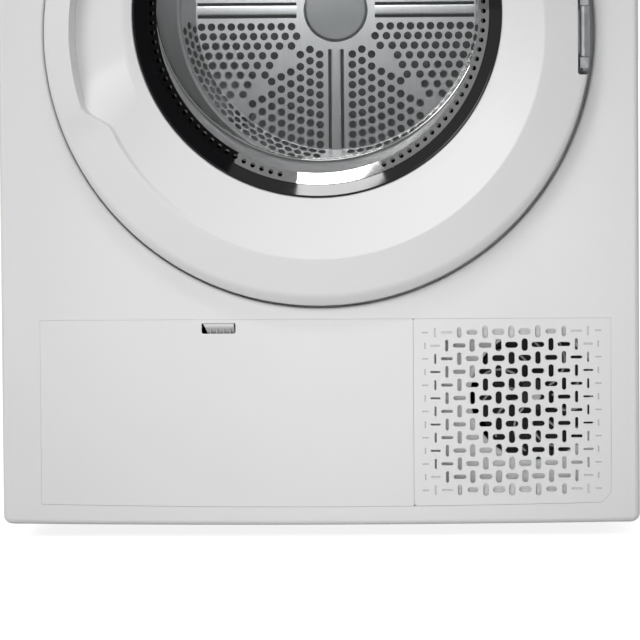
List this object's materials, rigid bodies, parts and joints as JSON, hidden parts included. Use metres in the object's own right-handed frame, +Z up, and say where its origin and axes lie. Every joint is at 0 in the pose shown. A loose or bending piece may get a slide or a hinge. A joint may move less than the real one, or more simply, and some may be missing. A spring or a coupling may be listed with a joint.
{
  "type": "clothes dryer",
  "caption": "Freestanding condenser tumble dryer: white cabinet, round glass door hinged on the right, drum, water tank drawer, flap over the condenser and vent grille.",
  "frame": {"origin": "on the floor, under the middle of the bounding box", "axes": "front faces -Y, +X to the right of someone facing the front, +Z up"},
  "size_m": [0.595, 0.64, 0.85],
  "materials": {
    "white_enamel": "smooth white enamel",
    "white_plastic": "fine satin",
    "grey_plastic": "satin",
    "dark_plastic": "satin",
    "glass": "clear, polished",
    "steel": "brushed",
    "galvanised": "galvanised sheet",
    "aluminium": "cast or rolled",
    "rubber": "moulded",
    "felt": "pressed felt",
    "tank_plastic": "milky moulding",
    "board": "lacquered board"
  },
  "bodies": {
    "cabinet": {"base_tray": "grey_plastic", "left_side_panel": "white_enamel", "right_side_panel": "white_enamel", "rear_panel": "galvanised", "rear_duct_cover": "galvanised", "worktop": "white_plastic", "front_panel": "white_enamel", "vent_grille": "white_plastic", "control_panel": "white_plastic", "display_lens": "dark_plastic", "control_board": "board", "door_hinge_bracket": "galvanised", "door_lock": "dark_plastic", "front_bulkhead": "galvanised", "drum_support_ring": "grey_plastic", "front_felt_seal": "felt", "door_seal": "rubber", "lint_filter": "grey_plastic", "rear_bulkhead": "galvanised", "rear_bearing": "aluminium", "heater": "galvanised", "motor": "aluminium", "fan_duct_front": "grey_plastic", "drum_belt": "rubber", "condenser": "aluminium", "tank_guide": "grey_plastic", "drain_pump": "dark_plastic", "tank_hose": "rubber", "power_inlet": "dark_plastic"},
    "door": {"door_outer_ring": "white_plastic", "door_inner_frame": "grey_plastic", "door_glass": "glass", "door_hinge_leaf": "galvanised", "door_latch_hook": "steel"},
    "drum": {"drum_shell": "steel", "drum_rear_wall": "steel", "drum_lifter_1": "grey_plastic", "drum_lifter_2": "grey_plastic", "drum_lifter_3": "grey_plastic"},
    "rotor": {"motor_shaft": "steel", "cooling_fan": "dark_plastic", "process_fan": "dark_plastic"},
    "idler": {"idler_arm": "galvanised"},
    "idler_wheel": {"idler_pulley": "grey_plastic"},
    "roller_left": {"support_roller_left": "rubber"},
    "roller_right": {"support_roller_right": "rubber"},
    "knob": {"programme_knob": "white_plastic"},
    "start_key": {"start_button": "grey_plastic"},
    "option_key_left": {"option_button_left": "grey_plastic"},
    "option_key_right": {"option_button_right": "grey_plastic"},
    "tank_drawer": {"tank_front": "white_plastic", "water_tank": "tank_plastic"},
    "flap": {"flap": "white_plastic"},
    "flap_catch": {"flap_latch": "grey_plastic"},
    "lock_left": {"condenser_lock_left": "dark_plastic"},
    "lock_right": {"condenser_lock_right": "dark_plastic"},
    "foot_fl": {"foot_front_left": "dark_plastic"},
    "foot_fr": {"foot_front_right": "dark_plastic"},
    "foot_rl": {"foot_rear_left": "dark_plastic"},
    "foot_rr": {"foot_rear_right": "dark_plastic"}
  },
  "joints": [
    {"name": "door_hinge", "type": "hinge", "parent": "cabinet", "child": "door", "pos_m": [0.2475, -0.302, 0.4712], "axis": [0, 0, 1], "range_deg": [0, 160]},
    {"name": "drum_spin", "type": "hinge", "parent": "cabinet", "child": "drum", "pos_m": [0, 0, 0.4899], "axis": [0, 1, 0], "continuous": true},
    {"name": "motor_spin", "type": "hinge", "parent": "cabinet", "child": "rotor", "pos_m": [0.2, 0, 0.13], "axis": [0, 1, 0], "continuous": true},
    {"name": "roller_left_spin", "type": "hinge", "parent": "cabinet", "child": "roller_left", "pos_m": [-0.17121, -0.215, 0.24538], "axis": [0, 1, 0], "continuous": true},
    {"name": "roller_right_spin", "type": "hinge", "parent": "cabinet", "child": "roller_right", "pos_m": [0.17121, -0.215, 0.24538], "axis": [0, 1, 0], "continuous": true},
    {"name": "idler_swing", "type": "hinge", "parent": "cabinet", "child": "idler", "pos_m": [0.11, -0.0815, 0.06], "axis": [0, -1, 0], "range_deg": [0, 8], "stiffness_Nm_per_rad": 2, "springref_deg": -17.19},
    {"name": "idler_pulley_spin", "type": "hinge", "parent": "idler", "child": "idler_wheel", "pos_m": [0.0842, -0.0945, 0.1411], "axis": [0, 1, 0], "continuous": true},
    {"name": "knob_turn", "type": "hinge", "parent": "cabinet", "child": "knob", "pos_m": [0.02, -0.29, 0.785], "axis": [0, 1, 0], "continuous": true},
    {"name": "start_button_press", "type": "slide", "parent": "cabinet", "child": "start_key", "axis": [0, 1, 0], "range_m": [0, 0.0015], "stiffness_N_per_m": 400, "springref_m": -0.002},
    {"name": "option_button_left_press", "type": "slide", "parent": "cabinet", "child": "option_key_left", "axis": [0, 1, 0], "range_m": [0, 0.0015], "stiffness_N_per_m": 400, "springref_m": -0.002},
    {"name": "option_button_right_press", "type": "slide", "parent": "cabinet", "child": "option_key_right", "axis": [0, 1, 0], "range_m": [0, 0.0015], "stiffness_N_per_m": 400, "springref_m": -0.002},
    {"name": "tank_slide", "type": "slide", "parent": "cabinet", "child": "tank_drawer", "axis": [0, -1, 0], "range_m": [0, 0.36]},
    {"name": "flap_hinge", "type": "hinge", "parent": "cabinet", "child": "flap", "pos_m": [-0.08705, -0.2875, 0.0355], "axis": [1, 0, 0], "range_deg": [0, 90]},
    {"name": "flap_latch_press", "type": "slide", "parent": "flap", "child": "flap_catch", "axis": [0, 0, -1], "range_m": [0, 0.0025], "stiffness_N_per_m": 300, "springref_m": -0.003},
    {"name": "condenser_lock_left_turn", "type": "hinge", "parent": "cabinet", "child": "lock_left", "pos_m": [-0.225, -0.2533, 0.105], "axis": [0, -1, 0], "range_deg": [0, 90]},
    {"name": "condenser_lock_right_turn", "type": "hinge", "parent": "cabinet", "child": "lock_right", "pos_m": [-0.005, -0.2533, 0.105], "axis": [0, 1, 0], "range_deg": [0, 90]},
    {"name": "foot_fl_turn", "type": "hinge", "parent": "cabinet", "child": "foot_fl", "pos_m": [-0.25, -0.128, 0], "axis": [0, 0, 1], "range_deg": [-360, 360]},
    {"name": "foot_fr_turn", "type": "hinge", "parent": "cabinet", "child": "foot_fr", "pos_m": [0.25, -0.128, 0], "axis": [0, 0, 1], "range_deg": [-360, 360]},
    {"name": "foot_rl_turn", "type": "hinge", "parent": "cabinet", "child": "foot_rl", "pos_m": [-0.25, 0.255, 0], "axis": [0, 0, 1], "range_deg": [-360, 360]},
    {"name": "foot_rr_turn", "type": "hinge", "parent": "cabinet", "child": "foot_rr", "pos_m": [0.25, 0.255, 0], "axis": [0, 0, 1], "range_deg": [-360, 360]}
  ],
  "couplings": [
    {"joint": "motor_spin", "follows": "drum_spin", "ratio": 22.4},
    {"joint": "roller_left_spin", "follows": "drum_spin", "ratio": -15.556},
    {"joint": "roller_right_spin", "follows": "drum_spin", "ratio": -15.556},
    {"joint": "idler_pulley_spin", "follows": "drum_spin", "ratio": -20}
  ]
}
